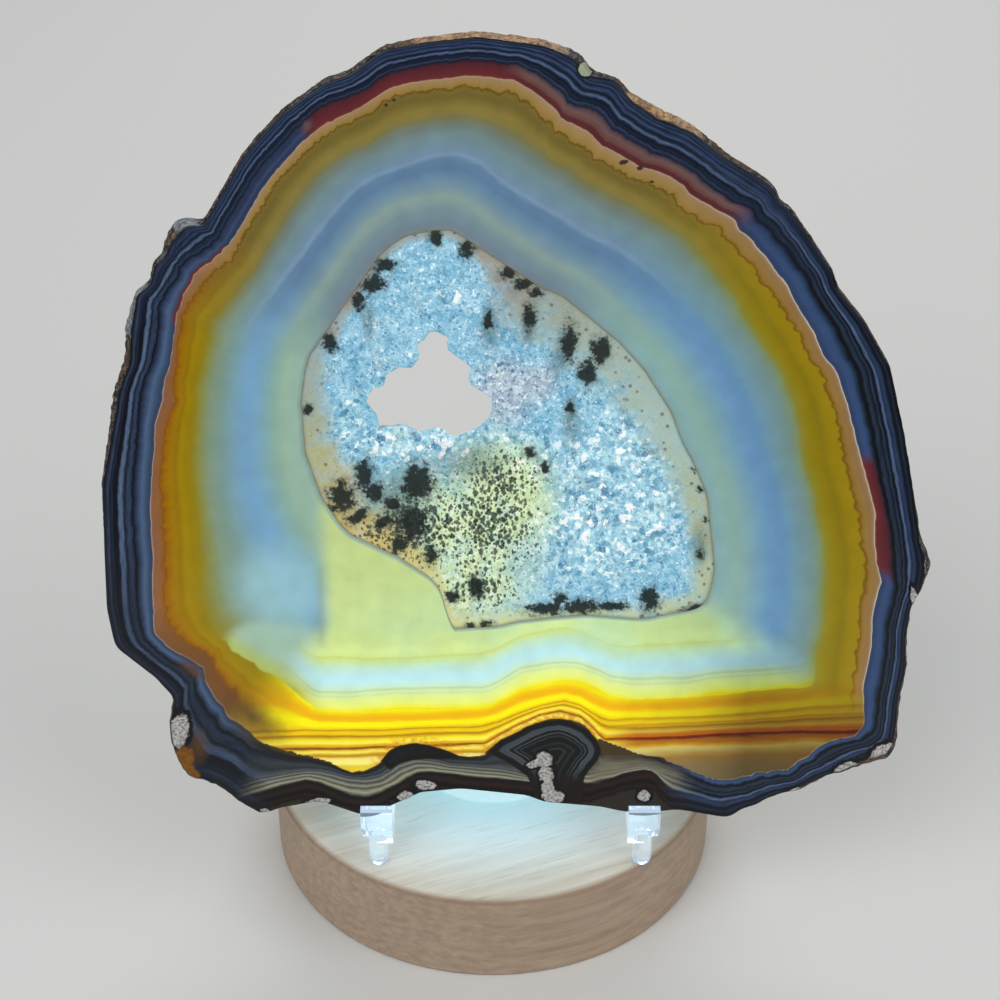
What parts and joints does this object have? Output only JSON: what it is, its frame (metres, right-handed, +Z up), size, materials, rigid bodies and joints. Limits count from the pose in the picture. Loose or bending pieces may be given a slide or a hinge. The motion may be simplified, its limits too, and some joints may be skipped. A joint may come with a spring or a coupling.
{
  "type": "mineral slice",
  "caption": "Leaning polished slice of banded agate with a crystal-lined hollow and a hole through it, on a clear easel over a round wooden lamp base.",
  "frame": {"origin": "middle of the wooden base's underside", "axes": "+Z up, -Y towards the viewer and the slice's sawn front, +X to the viewer's right"},
  "size_m": [0.1661, 0.1, 0.1867],
  "materials": {
    "agate": "polished",
    "quartz": "crystal faces",
    "clear_plastic": "clear, gloss",
    "pale_wood": "bare, fine sanded",
    "frosted_window": "frosted, lit from below"
  },
  "bodies": {
    "root": {"agate_slice": "agate", "quartz_druse": "quartz", "easel_left": "clear_plastic", "easel_right": "clear_plastic", "easel_crossbar": "clear_plastic", "wooden_base": "pale_wood", "light_window": "frosted_window"}
  },
  "joints": []
}
